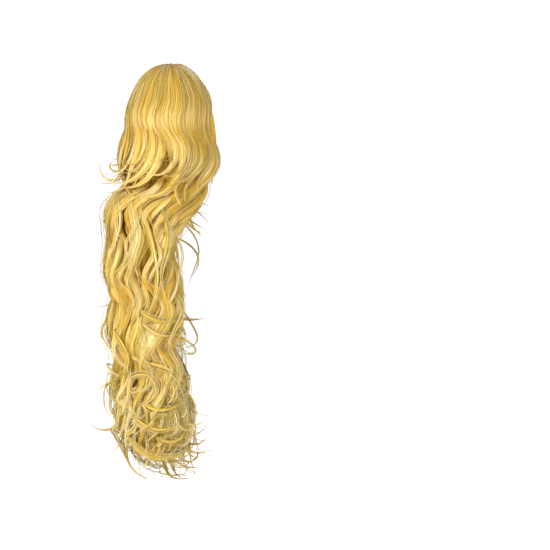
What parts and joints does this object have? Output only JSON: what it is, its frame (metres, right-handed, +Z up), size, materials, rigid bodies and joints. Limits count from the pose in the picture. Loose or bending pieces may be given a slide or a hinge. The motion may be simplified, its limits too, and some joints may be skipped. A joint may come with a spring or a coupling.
{
  "type": "ponytail hairpiece",
  "caption": "Long wavy golden blonde ponytail hairpiece: a domed cap with a comb, covered by layers of curled locks that taper to loose ends.",
  "frame": {"origin": "middle of the cap's mouth, where it sits on the back of the wearer's crown", "axes": "+Z up along the hanging hair, -Y the way the wearer faces, +X the wearer's left"},
  "size_m": [0.2338, 0.1848, 0.6474],
  "materials": {
    "hair": "fine glossy golden blonde strands, lighter on the crests and honey brown in the recesses",
    "cap_weave": "tan woven net",
    "comb_plastic": "smooth brown plastic"
  },
  "bodies": {
    "root": {"base_cap": "cap_weave", "comb": "comb_plastic", "crown_layer": "hair", "middle_layer": "hair", "long_lengths": "hair"}
  },
  "joints": []
}
